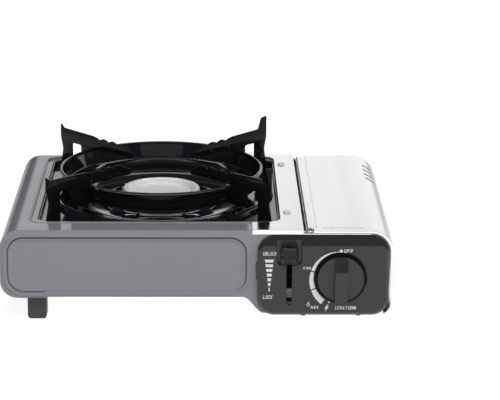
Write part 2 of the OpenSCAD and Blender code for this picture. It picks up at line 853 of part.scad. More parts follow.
// Points along the mixing tube's axis, measured from the burner
function mix_point(along, z) =
    [burner_x + along * cos(mix_angle), burner_y + along * sin(mix_angle), z];
module along_mix(z) {
    translate([burner_x, burner_y, z]) rotate([0, 0, mix_angle]) children();
}

jet_gap = 2;
jet_l = 14;
jet_half = 7;
jet_d = 8;
jet_in = 8;
pipe_lead = 18;

module gas_pipe() {
    jet_back = mix_reach + jet_gap + jet_l;
    route = [
        [knob_x - reg_half - outlet_l, outlet_y, pipe_z],
        [lever_x - 3, outlet_y, pipe_z],
        mix_point(jet_back + pipe_lead, pipe_z),
        mix_point(jet_back, pipe_z)
    ];
    color(brass) placed() swept_tube(rounded_route(route, 8, 6), pipe_d, 10);
}

module jet_holder() {
    color(brass) placed() along_mix(0) {
        translate([mix_reach + jet_gap, -jet_half, floor_z + sheet])
            cube([jet_l, 2 * jet_half, mix_z + jet_half - floor_z - sheet]);
        rod_x(mix_reach - jet_in, 0, mix_z, jet_d, jet_in + jet_gap + 1);
    }
}

// Mixing tube with its bell mouth and air ports
mix_from = 24;
bell_l = 8;
bell_r = 2;
air_d = 7;

module mixing_tube() {
    r = mix_d / 2;
    color(steel_zinc) placed() along_mix(mix_z) difference() {
        rotate([0, 90, 0]) rotate_extrude() polygon([
            [r - mix_wall, mix_from], [r, mix_from], [r, mix_reach - bell_l], [r + bell_r, mix_reach],
            [r + bell_r - mix_wall, mix_reach], [r - mix_wall, mix_reach - bell_l]
        ]);
        for (side = [-1, 1])
            translate([mix_reach - 2 * bell_l, side * r, 0]) rotate([90, 0, 0])
                cylinder(d = air_d, h = mix_d, center = true);
    }
}

// Cast burner: chamber on the base, side socket for the mixing tube, head with flame ports
chamber_r = 22;
neck_r = 18;
chamber_rise = 10;
neck_rise = 13;
cap_over = 3.8;
cap_t = 7;
head_r = cap_r - cap_over;
head_low = 64;
head_top = cap_z - cap_t;
socket_wall = 3;
socket_to = 39;
port_w = 2;
port_h = 3;
lug_low = 60;
lug_high = 66;
lug_in = 10;

module burner_body() {
    socket_d = mix_d + 2 * socket_wall;
    color(aluminium) placed() difference() {
        union() {
            translate([burner_x, burner_y, 0]) rotate_extrude() polygon([
                [0, floor_z + sheet], [chamber_r, floor_z + sheet], [chamber_r, mix_z + chamber_rise],
                [neck_r, mix_z + neck_rise], [head_r, head_low], [head_r, head_top], [0, head_top]
            ]);
            along_mix(0) rod_x(0, 0, mix_z, socket_d, socket_to);
            translate([burner_x, burner_y, lug_low]) rotate([0, 0, spark_angle])
                translate([head_r - lug_in, -spark_d, 0])
                    cube([spark_r + spark_d - head_r + lug_in, 2 * spark_d, lug_high - lug_low]);
        }
        along_mix(0) rod_x(mix_from - seat_gap, 0, mix_z, mix_d + 2 * run_fit, socket_to);
        for (i = [0:port_count - 1])
            translate([burner_x, burner_y, head_top - port_h]) rotate([0, 0, 360 * (i + 0.5) / port_count])
                translate([head_r - 5, -port_w / 2, 0]) cube([6, port_w, port_h + cut]);
        spark_at() cylinder(d = spark_d + 2 * run_fit, h = cap_z);
    }
}

cap_edge = 1.4;
cap_slope = 3;
cap_sag = 0.6;

module burner_cap() {
    color(aluminium) placed() translate([burner_x, burner_y, 0]) rotate_extrude() polygon([
        [0, head_top], [cap_r - cap_edge, head_top], [cap_r, head_top + cap_edge],
        [cap_r, cap_z - cap_edge], [cap_r - cap_edge, cap_z], [cap_r - cap_rim, cap_z],
        [cap_r - cap_rim - cap_slope, cap_z - cap_dish], [0, cap_z - cap_dish - cap_sag]
    ]);
}

// Spark electrode in its ceramic sleeve
module spark_at() {
    translate([burner_x, burner_y, 0]) rotate([0, 0, spark_angle]) translate([spark_r, 0, 0]) children();
}

module spark_insulator() {
    color([0.93, 0.92, 0.88]) placed() spark_at()
        translate([0, 0, spark_low]) cylinder(d = spark_d, h = spark_top - spark_low);
}

module spark_electrode() {
    rod = 1.6;
    rise = 4;
    reach = 4;
    color(steel_zinc) placed() spark_at() {
        translate([0, 0, spark_top]) cylinder(d = rod, h = rise);
        translate([0, 0, spark_top + rise - rod / 2]) rotate([0, -90, 0]) cylinder(d = rod, h = reach);
    }
}

wire_turn = 6;
wire_rise = 3.5;
wire_lead = 12;
wire_round = 44;
wire_front = 76;
wire_in = 26;

module ignition_wire() {
    spark = [burner_x + spark_r * cos(spark_angle), burner_y + spark_r * sin(spark_angle), spark_low];
    from = [piezo_x + piezo_w / 2, sheet + piezo_l + 3, knob_z];
    turn_y = from[1] + wire_turn;
    low_z = floor_z + sheet + wire_rise;
    route = [
        from, [from[0], turn_y, knob_z], [from[0], turn_y, wire_z], [from[0] - wire_lead, wire_y, wire_z],
        [wall_x - 2, wire_y, wire_z], [joggle_x + joggle_w, wire_y + 2, low_z],
        [joggle_x - wire_turn, wire_y + 4, low_z],
        [burner_x - wire_in, burner_y - wire_front, low_z], [burner_x - wire_round, burner_y, low_z],
        [spark[0], spark[1], low_z], spark
    ];
    color([0.85, 0.83, 0.78]) placed() swept_tube(rounded_route(route, 4, 3), wire_d, 8);
}

// Lock lever: arm on its pivot with a crank pin, drawn level and then swung up to its open position
ear_half = 4;
ear_r = 4.4;
hub_r = 7;
socket_in = 5;

module swung() {
    translate([0, pivot_y, pivot_z]) rotate([-lever_half, 0, 0]) children();
}

module lock_lever() {
    tip = cap_in + socket_in;
    pin_to = bay_x + seat_gap + pusher_t;
    color(steel_zinc) placed() swung() {
        translate([lever_x - lever_t / 2, 0, 0]) rotate([90, 0, 90]) linear_extrude(lever_t) difference() {
            union() {
                circle(hub_r);
                translate([-tip, -arm_half]) square([tip, 2 * arm_half]);
                translate([-ear_half, 0]) square([2 * ear_half, crank_r]);
                translate([0, crank_r]) circle(ear_r);
            }
            circle(pivot_d / 2 + run_fit);
        }
        rod_x(lever_x + lever_t / 2, 0, crank_r, crank_d, pin_to - lever_x - lever_t / 2);
    }
}

module lever_cap() {
    nose = 2;
    half = lever_cap_w / 2;
    tip = lever_tip_w / 2;
    color(plastic_black) placed() swung() difference() {
        intersection() {
            translate([lever_x - half, 0, 0]) rotate([90, 0, 90]) linear_extrude(lever_cap_w)
                polygon([
                    [-cap_in, -cap_half], [-cap_in, cap_half], [nose - cap_out, cap_half],
                    [-cap_out, cap_half - nose], [-cap_out, -cap_half / 2], [-cap_in - nose, -cap_half]
                ]);
            translate([lever_x, 0, -cap_half - cut]) linear_extrude(2 * (cap_half + cut))
                polygon([
                    [-half, -cap_in], [-half, -cap_in - nose], [-tip, -cap_out], [tip, -cap_out],
                    [half, -cap_in - nose], [half, -cap_in]
                ]);
        }
        translate([lever_x - lever_t / 2 - run_fit, -cap_in - socket_in - seat_gap, -arm_half - run_fit])
            cube([lever_t + 2 * run_fit, socket_in + seat_gap + cut, 2 * (arm_half + run_fit)]);
    }
}

module lever_pivot() {
    head_d = 10;
    head_t = 2;
    left = lever_x - lever_t / 2 - seat_gap;
    right = lever_x + lever_t / 2 + seat_gap;
    color(steel_zinc) placed() {
        rod_x(left - head_t, pivot_y, pivot_z, head_d, head_t);
        rod_x(left - 1, pivot_y, pivot_z, pivot_d, bay_x - left + 1);
        rod_x(right, pivot_y, pivot_z, head_d, wall_x - right);
    }
}

// Bent stop for the lever arm on the bay wall, behind the panel's slot
stop_left = 3;
stop_y = 14;
stop_z = 17.5;
stop_h = 8.2;
stop_foot = 10;

module lever_stop() {
    left = lever_x - stop_left;
    color(steel_zinc) placed() {
        translate([left, stop_y, stop_z]) cube([wall_x - left, sheet, stop_h]);
        translate([wall_x - sheet, stop_y, stop_z]) cube([sheet, stop_foot, stop_h]);
    }
}

// Pusher that draws the cartridge onto its seat: bar on the bay wall and tab behind the cartridge
pusher_lead = 12;
pusher_drop = 14;
pusher_over = 8;
crank_play = 0.15;
crank_room = 0.6;

module cartridge_pusher() {
    pin_y = pivot_y + crank_r * sin(lever_half);
    bar_y = pivot_y - pusher_lead;
    slot_z = pivot_z + crank_r * cos(lever_half) - crank_d / 2 - crank_room;
    slot_h = crank_r * (1 - cos(lever_half)) + crank_d + 2 * crank_room;
    tab_low = knob_z - pusher_drop;
    tab_right = knob_x + pusher_over;
    x = bay_x + seat_gap;
    color(steel_zinc) placed() difference() {
        union() {
            translate([x, bar_y, pusher_low]) cube([pusher_t, pusher_y + pusher_t - bar_y, pusher_h]);
            translate([x, pusher_y, tab_low])
                cube([tab_right - x, pusher_t, pusher_low + pusher_h - tab_low]);
        }
        translate([x - cut, pin_y - crank_d / 2 - crank_play, slot_z])
            cube([pusher_t + 2 * cut, crank_d + 2 * crank_play, slot_h]);
    }
}

// Enamelled drip tray: square flange with an upturned border in the well, round bead, dished middle
// and a collar round the burner
bead_w = 3;
bead_foot = 4.5;
bead_edge = 0.5;
dish_drop = 4;
collar_rise = 4;
collar_w = 4;
border_drop = 0.4;

module tray_outline(inset) {
    gap = tray_gap + inset;
    translate([well_x + gap, well_y + gap]) rounded_rect(well_w - 2 * gap, well_d - 2 * gap, well_r - gap);
}

module drip_tray() {
    t = tray_t;
    top = tray_top;
    flange_r = well_half - tray_gap - bead_edge;
    bead_top = top + bead_h;
    in_r = bead_r - bead_w / 2 - bead_foot;
    dish_z = top - dish_drop;
    color(enamel_black) placed() {
        difference() {
            translate([0, 0, lip_top]) linear_extrude(t) tray_outline(0);
            translate([burner_x, burner_y, lip_top - cut]) cylinder(r = flange_r - 1, h = t + 2 * cut);
        }
        translate([0, 0, lip_top]) difference() {
            linear_extrude(ledge_z - lip_top - border_drop) tray_outline(0);
            translate([0, 0, -cut]) linear_extrude(well_depth + 2 * cut) tray_outline(t);
        }
        translate([burner_x, burner_y, 0]) rotate_extrude($fn = 128) polygon([
            [flange_r, top], [bead_r + bead_w / 2, bead_top - t / 2], [bead_r + bead_w / 4, bead_top],
            [bead_r - bead_w / 4, bead_top], [in_r + bead_foot, bead_top - t / 2], [in_r, top - t],
            [tray_hole_r + collar_w + t, dish_z], [tray_hole_r + t, dish_z + collar_rise],
            [tray_hole_r, dish_z + collar_rise], [tray_hole_r, dish_z + collar_rise - t],
            [tray_hole_r + collar_w, dish_z - t], [in_r + t / 2, top - 2 * t],
            [bead_r - bead_w / 4, bead_top - t], [bead_r + bead_w / 4, bead_top - t],
            [flange_r - t / 2, top - t], [flange_r, top - t]
        ]);
    }
}

// Pan support: wind ring with a rolled rim, and four arms that stand on the tray
ring_t = 1.3;
ring_in = 4.4;
ring_step = 6;
ring_fall = 3;

module pan_ring() {
    wall_low = rim_z - ring_drop;
    color(enamel_black) placed() translate([burner_x, burner_y, 0]) rotate_extrude($fn = 128) polygon([
        [ring_r, rim_z], [ring_r - ring_t, rim_z], [ring_r - ring_in - ring_t, wall_low + ring_t / 2],
        [ring_r - ring_in - ring_step, wall_low - ring_t / 4],
        [ring_hole_r, wall_low - ring_fall], [ring_hole_r, wall_low - ring_fall - ring_t],
        [ring_r - ring_in - ring_step, wall_low - ring_t * 5 / 4],
        [ring_r - ring_in, wall_low - ring_t / 2], [ring_r, rim_z - 2]
    ]);
}

arm_tip = 38.6;
arm_low = rim_z - ring_drop - ring_t / 2;
arm_gap = 0.15;
arm_nose = 12;
arm_nose_rise = 5.4;
open_w = 13;
grip_count = 3;
grip_pitch = 12.4;
grip_from = 53.5;
grip_dip = 1.7;
short_top = 0.6;
short_foot = 4.5;
tall_top = 6.5;
tall_foot = 10.5;

// One arm: foot, waisted outer edge, prong, wavy pan rest and the edge that sits on the ring's rim
module pan_arm(angle, prong, prong_top, prong_foot) {
    leg_in = arm_reach - leg_w;
    prong_z = pan_z + prong;
    rest_end = grip_from + grip_count * grip_pitch;
    rest = [
        for (i = [grip_count - 1:-1:0])
            let (r = grip_from + i * grip_pitch)
            each [
                [r + grip_pitch / 2, pan_z - grip_dip], [r + grip_pitch / 4, pan_z - grip_dip / 4],
                [r, pan_z]
            ]
    ];
    outline = concat(
        [
            [arm_reach, tray_top], [arm_reach, tray_top + 4.5], [arm_reach - 3, rim_z - 7.6],
            [arm_reach, rim_z + 4], [arm_reach, prong_z], [arm_reach - prong_top, prong_z - prong_top / 6],
            [arm_reach - prong_foot, pan_z + 1.4], [rest_end, pan_z + 0.4]
        ],
        rest,
        [
            [arm_tip + arm_nose, pan_z - 1], [arm_tip + 1, rim_z + arm_nose_rise], [arm_tip, rim_z],
            [ring_r + arm_gap, rim_z], [ring_r + arm_gap, rim_z - 2],
            [ring_r - ring_in + arm_gap, arm_low], [leg_in - open_w, arm_low],
            [leg_in - open_w, rim_z - 1.5], [leg_in - open_w + 1.5, rim_z],
            [leg_in - 1.5, rim_z], [leg_in, rim_z - 1.5], [leg_in, tray_top]
        ]
    );
    color(enamel_black) placed() translate([burner_x, burner_y, 0]) rotate([0, 0, angle])
        rotate([90, 0, 0]) translate([0, 0, -arm_t / 2]) linear_extrude(arm_t) polygon(outline);
}

module short_arm(angle) {
    pan_arm(angle, short_prong, short_top, short_foot);
}
module tall_arm(angle) {
    pan_arm(angle, tall_prong, tall_top, tall_foot);
}

module pan_arm_front_left() {
    short_arm(225);
}
module pan_arm_front_right() {
    tall_arm(315);
}
module pan_arm_rear_left() {
    short_arm(135);
}
module pan_arm_rear_right() {
    tall_arm(45);
}

// Moulded feet: tall ones under the wrapped edge at the left, short ones under the trough at the right
foot_r = 3;
short_inset = 34;
short_right = 22;

module foot(x, y, height) {
    upright(y, foot_d) {
        translate([x, foot_r]) square([foot_w, height - foot_r]);
        translate([x + foot_r, 0]) square([foot_w - 2 * foot_r, foot_r]);
        for (c = [x + foot_r, x + foot_w - foot_r]) translate([c, foot_r]) circle(foot_r);
    }
}

module left_feet() {
    color(plastic_black) placed() for (y = [foot_inset, body_d - foot_inset - foot_d])
        foot(foot_left, y, wrap_z);
}

module right_feet() {
    color(plastic_black) placed() for (y = [short_inset, body_d - short_inset - foot_d])
        foot(body_w - short_right - foot_w, y, trough_z);
}

body_shell();
base_plate();
top_plate();
plate_screws();
bay_wall();
hinge_pin();
cartridge_lid();
control_panel();
control_knob();
valve_stem();
regulator_body();
nozzle_gasket();
piezo_igniter();
gas_pipe();
jet_holder();
mixing_tube();
burner_body();
burner_cap();
spark_insulator();
spark_electrode();
ignition_wire();
lock_lever();
lever_cap();
lever_pivot();
lever_stop();
cartridge_pusher();
drip_tray();
pan_ring();
pan_arm_front_left();
pan_arm_front_right();
pan_arm_rear_left();
pan_arm_rear_right();
left_feet();
right_feet();
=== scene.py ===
"""Looks of a portable cartridge gas stove: finishes, smooth pressed pieces, panel marks and studio."""

import json
import math

import bmesh
import bpy
from mathutils import Matrix, Vector
from mathutils.geometry import tessellate_polygon


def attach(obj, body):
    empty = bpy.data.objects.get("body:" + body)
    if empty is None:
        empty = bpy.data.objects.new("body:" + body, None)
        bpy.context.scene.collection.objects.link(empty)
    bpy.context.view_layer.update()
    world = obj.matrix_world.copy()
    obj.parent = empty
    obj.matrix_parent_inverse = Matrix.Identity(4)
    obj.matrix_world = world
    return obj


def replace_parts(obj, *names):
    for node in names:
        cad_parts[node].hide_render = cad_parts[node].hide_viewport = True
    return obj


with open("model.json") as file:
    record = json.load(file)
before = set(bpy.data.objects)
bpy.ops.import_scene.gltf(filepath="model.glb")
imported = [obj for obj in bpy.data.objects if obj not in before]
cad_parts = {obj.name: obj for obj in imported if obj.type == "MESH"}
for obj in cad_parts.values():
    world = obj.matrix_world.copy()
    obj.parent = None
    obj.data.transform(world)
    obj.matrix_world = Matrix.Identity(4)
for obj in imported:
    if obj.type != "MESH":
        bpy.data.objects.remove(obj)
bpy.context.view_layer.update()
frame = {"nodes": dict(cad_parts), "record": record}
nodes = frame["nodes"]

MM = 0.001

# The solids are drawn on a bench, in mm: x from the left wall, y from the front face, z from the table.
BENCH_X = -170.0
BENCH_Y = -115.65

# Heights and places on that bench which several pieces share
BURNER_X = 136.0
BURNER_Y = 136.75
WELL_HALF_X = 106.0
WELL_HALF_Y = 104.75
WELL_CORNER = 10.0
RIM_Z = 102.6
PAN_Z = 113.8
TRAY_TOP = 75.5
PANEL_FACE = -8.0
KNOB_X = 293.0
KNOB_Z = 42.6
KNOB_R = 21.8


def bench(x, y, z):
    """A point of the bench, in millimetres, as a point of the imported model, in metres."""
    return Vector(((x + BENCH_X) * MM, (y + BENCH_Y) * MM, z * MM))


class Wire:
    """One output of a material's nodes. Arithmetic on it adds Math nodes."""

    def __init__(self, tree, socket=None):
        self.tree = tree
        self.socket = socket

    def add(self, kind, settings, sockets, out=0):
        """Adds a node of that kind, sets it up, fills its sockets and returns one of its outputs."""
        made = self.tree.nodes.new("ShaderNode" + kind)
        for name, value in settings.items():
            if name == "stops":
                for spot, (place, shade) in zip(made.color_ramp.elements, value):
                    spot.position = place
                    spot.color = (shade, shade, shade, 1.0)
            else:
                setattr(made, name, value)
        for name, value in sockets.items():
            if isinstance(value, Wire):
                self.tree.links.new(value.socket, made.inputs[name])
            else:
                made.inputs[name].default_value = value
        return Wire(self.tree, made.outputs[out])

    def maths(self, operation, first, second=0.0):
        """One Math node on wires or numbers."""
        return self.add("Math", {"operation": operation}, {0: first, 1: second})

    def __add__(self, other):
        return self.maths("ADD", self, other)

    def __radd__(self, other):
        return self.maths("ADD", other, self)

    def __sub__(self, other):
        return self.maths("SUBTRACT", self, other)

    def __rsub__(self, other):
        return self.maths("SUBTRACT", other, self)

    def __mul__(self, other):
        return self.maths("MULTIPLY", self, other)

    def __rmul__(self, other):
        return self.maths("MULTIPLY", other, self)

    def noise(self, scale, detail=2.0, stretch=(1.0, 1.0, 1.0)):
        """Noise over the piece, finer for a larger scale, drawn out along the axes with a small stretch."""
        place = self.add("TexCoord", {}, {}, "Object")
        drawn = self.add("Mapping", {}, {"Vector": place, "Scale": stretch})
        return self.add("TexNoise", {}, {"Vector": drawn, "Scale": scale, "Detail": detail}, "Fac")

    def ramp(self, share, low, high):
        """Spreads the part of a share between low and high over 0 to 1."""
        return self.add("ValToRGB", {"stops": [(low, 0.0), (high, 1.0)]}, {"Fac": share})

    def tint(self, share, first, second):
        """A colour between two colours, by a share that changes over the surface. The second may be a wire."""
        if not isinstance(second, Wire):
            second = (*second, 1.0)
        return self.add("Mix", {"data_type": "RGBA"}, {0: share, 6: (*first, 1.0), 7: second}, 2)

    def soft_edges(self, radius):
        """The surface's direction with its sharp edges rounded to that radius, in millimetres."""
        return self.add("Bevel", {"samples": 6}, {"Radius": radius * MM}, "Normal")

    def openness(self, reach):
        """How open the surface lies within a reach, in millimetres: low in a groove, 1 on a free face."""
        return self.add("AmbientOcclusion", {"samples": 8}, {"Distance": reach * MM}, "AO")

    def bump(self, height, strength, distance, onto):
        """A surface's direction tilted by a fine height pattern."""
        sockets = {"Height": height, "Strength": strength, "Distance": distance, "Normal": onto}
        return self.add("Bump", {}, sockets, "Normal")


def finish_of(name, constants):
    """A new material, its shader with those constants, and a wire to build the shader's inputs with."""
    material = bpy.data.materials.new(name)
    material.use_nodes = True
    tree = material.node_tree
    shader = tree.nodes["Principled BSDF"]
    for socket, value in constants.items():
        shader.inputs[socket].default_value = value
    return material, shader, Wire(tree)


def feed(shader, wire, **inputs):
    """Links wires to the shader's inputs: Base_Color feeds Base Color."""
    for name, value in inputs.items():
        wire.tree.links.new(value.socket, shader.inputs[name.replace("_", " ")])


def grey_paint(name, edge, shade_in_grooves=False):
    """Satin grey paint that rounds sharp edges to a radius in millimetres, and may carry painted shade that
    darkens it in grooves.
    """
    material, shader, wire = finish_of(name, {"Specular IOR Level": 0.4})
    cloud = wire.noise(14.0)
    peel = wire.noise(900.0)
    colour = wire.tint(cloud, (0.242, 0.248, 0.270), (0.268, 0.274, 0.296))
    # Painted shade: the colour darkens to near black where the surface is enclosed within 2 mm, as in grooves
    if shade_in_grooves:
        free = wire.ramp(wire.openness(2.0), 0.40, 0.80)
        colour = wire.tint(free, (0.050, 0.052, 0.058), colour)
    feed(
        shader, wire,
        Base_Color=colour,
        Roughness=0.10 + 0.08 * cloud,
        Normal=wire.bump(peel, 0.04, 0.0002, wire.soft_edges(edge)),
    )
    return material


def rolled_steel():
    """Bright rolled steel with a grain that runs from front to back."""
    material, shader, wire = finish_of("rolled_steel", {"Metallic": 1.0})
    grain = wire.noise(60.0, 3.0, (1.0, 0.02, 1.0))
    streak = wire.ramp(wire.noise(26.0, 2.0, (1.0, 0.03, 1.0)), 0.45, 0.75)
    feed(
        shader, wire,
        Base_Color=wire.tint(streak, (0.89, 0.89, 0.88), (0.80, 0.80, 0.79)),
        Roughness=0.12 + 0.10 * grain,
        Normal=wire.soft_edges(0.5),
    )
    return material


def zinc_plate():
    """Dull zinc plating with a faint spangle."""
    material, shader, wire = finish_of("zinc_plate", {"Metallic": 1.0})
    spangle = wire.noise(120.0, 1.0)
    feed(
        shader, wire,
        Base_Color=wire.tint(spangle, (0.70, 0.70, 0.62), (0.82, 0.82, 0.74)),
        Roughness=0.45 + 0.16 * spangle,
    )
    return material


def enamel(name, shine):
    """Black vitreous enamel. Its shine is the shader's specular level."""
    material, shader, wire = finish_of(name, {"Specular IOR Level": shine})
    cloud = wire.noise(25.0)
    feed(
        shader, wire,
        Base_Color=wire.tint(cloud, (0.004, 0.004, 0.004), (0.007, 0.007, 0.007)),
        Roughness=0.04 + 0.05 * cloud,
    )
    return material


def moulded(name, dark, light, roughness, edge=0.5, shine=0.5):
    """Moulded plastic with a fine grain."""
    material, shader, wire = finish_of(name, {"Specular IOR Level": shine})
    grain = wire.noise(2600.0)
    cloud = wire.noise(30.0)
    feed(
        shader, wire,
        Base_Color=wire.tint(cloud, dark, light),
        Roughness=roughness + 0.10 * grain,
        Normal=wire.bump(grain, 0.10, 0.0002, wire.soft_edges(edge)),
    )
    return material


def turned(name, dark, light, roughness, metal=1.0):
    """Plain machined or cast metal, less metallic where it is blasted dull."""
    material, shader, wire = finish_of(name, {"Metallic": metal})
    cloud = wire.noise(40.0, 4.0)
    feed(
        shader, wire,
        Base_Color=wire.tint(cloud, dark, light),
        Roughness=roughness + 0.12 * cloud,
    )
    return material


def legend_ink():
    """Pale ink of the panel's marks."""
    material, shader, wire = finish_of("legend_ink", {"Specular IOR Level": 0.3})
    cloud = wire.noise(400.0)
    feed(
        shader, wire,
        Base_Color=wire.tint(cloud, (0.80, 0.80, 0.80), (0.88, 0.88, 0.88)),
        Roughness=0.5 + 0.1 * cloud,
    )
    return material


FINISHES = {
    "body_grey": grey_paint("grey_paint", 1.5),
    "bright_steel": rolled_steel(),
    "zinc_steel": zinc_plate(),
    "black_enamel": enamel("black_enamel", 0.9),
    "black_plastic": moulded("black_plastic", (0.021, 0.021, 0.020), (0.027, 0.027, 0.025), 0.22, edge=0.8),
    "dark_plastic": moulded("foot_plastic", (0.036, 0.036, 0.034), (0.044, 0.044, 0.042), 0.40),
    # Brass darkened well below its own colour: painted shade for the pipe and valve seen through the lever's
    # slot
    "brass": turned("brass_with_painted_shade", (0.20, 0.15, 0.08), (0.28, 0.21, 0.11), 0.40),
    "cast_aluminium": turned("cast_aluminium", (0.42, 0.43, 0.44), (0.56, 0.57, 0.58), 0.42),
    "bright_aluminium": turned("spun_aluminium", (0.95, 0.95, 0.95), (0.98, 0.98, 0.98), 0.30, metal=0.3),
    "black_rubber": moulded("sealing_rubber", (0.012, 0.012, 0.012), (0.020, 0.020, 0.020), 0.60),
    "red_plastic": moulded("igniter_plastic", (0.32, 0.03, 0.02), (0.42, 0.05, 0.03), 0.35),
    "ceramic": moulded("glazed_ceramic", (0.80, 0.78, 0.72), (0.86, 0.84, 0.78), 0.20),
    "wire_sleeve": moulded("silicone_sleeve", (0.60, 0.57, 0.50), (0.68, 0.65, 0.58), 0.45),
}
LEGEND = legend_ink()
# Grey paint of the field's edge and the ledge's bead, with painted shade darkening its grooves
SHADED_BEAD_PAINT = grey_paint("bead_paint_with_groove_shade", 0.05, shade_in_grooves=True)
# Near-black matte plastic for the painted shade band round the knob
KNOB_SHADE_BLACK = moulded("knob_gap_shade_black", (0.003, 0.003, 0.003), (0.005, 0.005, 0.005), 0.70, edge=0.2, shine=0.15)
ARM_ENAMEL = enamel("arm_enamel", 0.12)
SCREW_STEEL = turned("screw_steel", (0.84, 0.84, 0.83), (0.90, 0.90, 0.89), 0.40, metal=0.3)
# A pale non-metal copy of the zinc: painted light that brightens the lever stop, which sits in shade behind the
# slot
LIT_ZINC = moulded("zinc_painted_light", (0.80, 0.80, 0.70), (0.88, 0.88, 0.78), 0.40)


def coat(piece, material):
    """Gives a piece one material in place of those that it has."""
    piece.data.materials.clear()
    piece.data.materials.append(material)


for subpart in frame["record"]["subparts"]:
    coat(nodes[subpart["node"]], FINISHES[subpart["material_slot"]])
# The lever stop gets the zinc with painted light
coat(nodes["lever_stop"], LIT_ZINC)
coat(nodes["plate_screws"], SCREW_STEEL)


def place(name, points, faces, body, slot, material=None):
    """A new piece from bench points, in millimetres, that moves with a body."""
    mesh = bpy.data.meshes.new(name)
    mesh.from_pydata([bench(*p) for p in points], [], faces)
    piece = bpy.data.objects.new(name, mesh)
    bpy.context.scene.collection.objects.link(piece)
    coat(piece, material or FINISHES[slot])
    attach(piece, body)
    return piece


def smooth(piece, crease=45.0):
    """Turns a closed piece's faces outwards and shades it smooth, but for edges sharper than the crease."""
    shape = bmesh.new()
    shape.from_mesh(piece.data)
    bmesh.ops.recalc_face_normals(shape, faces=shape.faces)
    shape.to_mesh(piece.data)
    shape.free()
    piece.data.shade_smooth()
    piece.data.set_sharp_from_angle(angle=math.radians(crease))
    return piece


def rounded(corners, steps=5):
    """A closed outline with rounded corners. Each corner is two coordinates and a radius."""
    outline = []
    for i, (u, v, r) in enumerate(corners):
        here = Vector((u, v))
        back = Vector(corners[i - 1][:2]) - here
        ahead = Vector(corners[(i + 1) % len(corners)][:2]) - here
        if r == 0.0:
            outline.append((u, v))
            continue
        reach = min(r / math.tan(back.angle(ahead) / 2.0), 0.48 * back.length, 0.48 * ahead.length)
        first = here + reach * back.normalized()
        last = here + reach * ahead.normalized()
        for k in range(steps + 1):
            t = k / steps
            spot = (1 - t) * (1 - t) * first + 2 * t * (1 - t) * here + t * t * last
            outline.append((spot.x, spot.y))
    return outline


def round_dot(x, z, r, count=20):
    """Outline of a round mark."""
    turns = [math.tau * i / count for i in range(count)]
    return [(x + r * math.cos(t), z + r * math.sin(t)) for t in turns]


def filled(outline, start=0):
    """Triangles that fill a closed outline whose points are numbered from start."""
    flat = [Vector((u, v, 0.0)) for u, v in outline]
    return [tuple(start + k for k in corners) for corners in tessellate_polygon([flat])]


def skin(rows, count, closed=True, ring=True, start=0):
    """Four-sided faces between rows of points, numbered from start, that follow each other.

    Closed rows go on to the first one. In a ring the last point of a row meets its first."""
    faces = []
    for i in range(rows if closed else rows - 1):
        here = start + i * count
        there = start + (i + 1) % rows * count
        for k in range(count if ring else count - 1):
            after = (k + 1) % count
            faces.append((here + k, there + k, there + after, here + after))
    return faces


def swept(name, loops, body, slot, material=None):
    """A closed piece from closed loops of bench points that follow each other round to the first."""
    points = [spot for loop in loops for spot in loop]
    return smooth(place(name, points, skin(len(loops), len(loops[0])), body, slot, material))


def about_burner(turn, along, across, z):
    """A bench point at a distance from the burner's axis in a direction, in degrees, and moved across it."""
    aim_x = math.cos(math.radians(turn))
    aim_y = math.sin(math.radians(turn))
    return (BURNER_X + along * aim_x - across * aim_y, BURNER_Y + along * aim_y + across * aim_x, z)


def lathe(name, outline, body, slot, steps=160):
    """A piece turned about the burner's axis from a closed outline of radius and height.

    An outline that starts and ends on the axis closes there."""
    capped = outline[0][0] == 0.0
    rings = outline[1:-1] if capped else outline
    count = len(rings)
    points = [about_burner(360.0 * i / steps, r, 0.0, z) for i in range(steps) for r, z in rings]
    faces = skin(steps, count, ring=not capped)
    if capped:
        first = len(points)
        points += [about_burner(0.0, 0.0, 0.0, z) for z in (outline[0][1], outline[-1][1])]
        for i in range(steps):
            here = i * count
            there = (i + 1) % steps * count
            faces.append((first, there, here))
            faces.append((first + 1, here + count - 1, there + count - 1))
    return smooth(place(name, points, faces, body, slot))


# Burner cap: dished disc with a raised rounded rim
cap = lathe("burner_cap_disc", [(0.0, 78.8)] + rounded([
    (14.0, 78.8, 0.0), (27.4, 78.9, 1.6), (30.6, 82.4, 1.0), (31.6, 83.0, 0.6), (34.2, 83.0, 1.0),
    (35.3, 81.8, 0.8), (35.3, 77.2, 0.8), (34.1, 76.0, 0.8), (3.0, 76.0, 0.0),
]) + [(0.0, 76.0)], "stove", "bright_aluminium")
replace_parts(cap, "burner_cap")


# Pan ring: rolled rim, sloped wall, stepped floor with an open middle
ring = lathe("pan_ring_pressing", rounded([
    (92.7, 103.0, 1.3), (90.0, 103.0, 1.3), (89.6, 100.6, 0.7), (86.2, 87.9, 2.6), (80.6, 86.4, 3.0),
    (77.0, 84.9, 3.0), (60.2, 82.7, 0.5), (60.0, 81.6, 0.4), (77.4, 83.7, 3.0), (81.2, 85.2, 3.0),
    (87.8, 85.4, 2.6), (91.0, 99.6, 0.6), (92.7, 100.4, 0.9),
]), "pan_support", "black_enamel")
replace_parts(ring, "pan_ring")


def square_reach(aim_x, aim_y, inset):
    """Distance along a direction from the burner's axis to the well's rounded square, moved in by an inset."""
    half_x = WELL_HALF_X - inset
    half_y = WELL_HALF_Y - inset
    corner = WELL_CORNER - inset
    far = min(half_x / max(abs(aim_x), 1e-9), half_y / max(abs(aim_y), 1e-9))
    middle_x = half_x - corner
    middle_y = half_y - corner
    if far * abs(aim_x) > middle_x and far * abs(aim_y) > middle_y:
        along = abs(aim_x) * middle_x + abs(aim_y) * middle_y
        far = along + math.sqrt(along ** 2 - middle_x ** 2 - middle_y ** 2 + corner ** 2)
    return far


